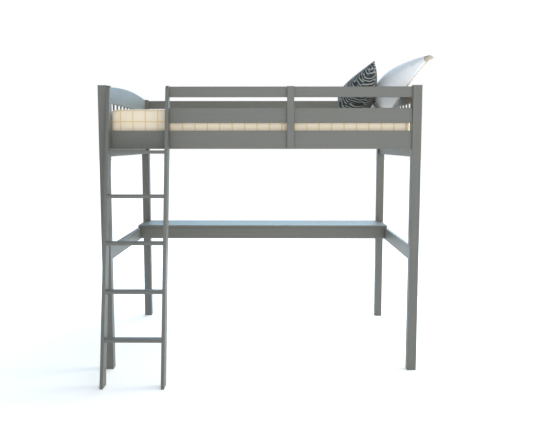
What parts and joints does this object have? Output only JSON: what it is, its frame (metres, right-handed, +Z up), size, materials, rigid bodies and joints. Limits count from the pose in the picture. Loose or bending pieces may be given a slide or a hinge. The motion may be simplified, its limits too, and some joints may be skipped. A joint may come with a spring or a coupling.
{
  "type": "loft bed with desk",
  "caption": "Grey painted wooden loft bed with arched spindled ends, guards, a leaning ladder, a long narrow desk under its back edge, a mattress and two cushions.",
  "frame": {"origin": "on the floor, under the middle of the overall box of bed, ladder and bedding", "axes": "+X to the right along the bed as seen from the ladder side, +Y from the ladder side to the desk side, +Z up"},
  "size_m": [2.132, 1.8022, 2.0658],
  "materials": {
    "grey_paint": "satin grey paint over solid wood",
    "slat_pine": "planed bare pine",
    "zinc_steel": "zinc-plated steel",
    "mattress_cover": "cream woven ticking with a fine golden check",
    "pillow_cotton": "white cotton front with an oatmeal knitted back",
    "cushion_weave": "dark blue-grey weave with a pale wavy line pattern"
  },
  "bodies": {
    "bed_frame": {"post_front_left": "grey_paint", "post_back_left": "grey_paint", "arch_rail_left": "grey_paint", "end_panel_left": "grey_paint", "stretcher_left": "grey_paint", "post_front_right": "grey_paint", "post_back_right": "grey_paint", "arch_rail_right": "grey_paint", "end_panel_right": "grey_paint", "stretcher_right": "grey_paint", "side_rail_front": "grey_paint", "lower_guard_front": "grey_paint", "top_guard_front": "grey_paint", "guard_upright_front": "grey_paint", "slat_ledger_front": "slat_pine", "side_rail_back": "grey_paint", "lower_guard_back": "grey_paint", "top_guard_back": "grey_paint", "guard_upright_back": "grey_paint", "slat_ledger_back": "slat_pine", "slat_01": "slat_pine", "slat_02": "slat_pine", "slat_03": "slat_pine", "slat_04": "slat_pine", "slat_05": "slat_pine", "slat_06": "slat_pine", "slat_07": "slat_pine", "slat_08": "slat_pine", "slat_09": "slat_pine", "slat_10": "slat_pine", "slat_11": "slat_pine", "slat_12": "slat_pine", "ladder_stile_left": "grey_paint", "ladder_stile_right": "grey_paint", "ladder_rung_1": "grey_paint", "ladder_rung_2": "grey_paint", "ladder_rung_3": "grey_paint", "ladder_rung_4": "grey_paint", "ladder_rung_5": "grey_paint", "desk_top": "grey_paint", "desk_apron": "grey_paint", "desk_back_rail": "grey_paint", "rail_bolt_front_left_1": "zinc_steel", "rail_bolt_front_left_2": "zinc_steel", "rail_bolt_front_right_1": "zinc_steel", "rail_bolt_front_right_2": "zinc_steel", "rail_bolt_back_left_1": "zinc_steel", "rail_bolt_back_left_2": "zinc_steel", "rail_bolt_back_right_1": "zinc_steel", "rail_bolt_back_right_2": "zinc_steel", "ladder_screw_left_1": "zinc_steel", "ladder_screw_left_2": "zinc_steel", "ladder_screw_right_1": "zinc_steel", "ladder_screw_right_2": "zinc_steel"},
    "mattress": {"mattress": "mattress_cover"},
    "white_pillow": {"white_pillow": "pillow_cotton"},
    "dark_cushion": {"dark_cushion": "cushion_weave"}
  },
  "joints": [
    {"name": "mattress_lift", "type": "slide", "parent": "bed_frame", "child": "mattress", "axis": [0, 0, 1], "range_m": [0, 0.4]},
    {"name": "pillow_lift", "type": "slide", "parent": "mattress", "child": "white_pillow", "axis": [0, 0, 1], "range_m": [0, 0.35]},
    {"name": "cushion_lift", "type": "slide", "parent": "mattress", "child": "dark_cushion", "axis": [0, 0, 1], "range_m": [0, 0.35]}
  ]
}
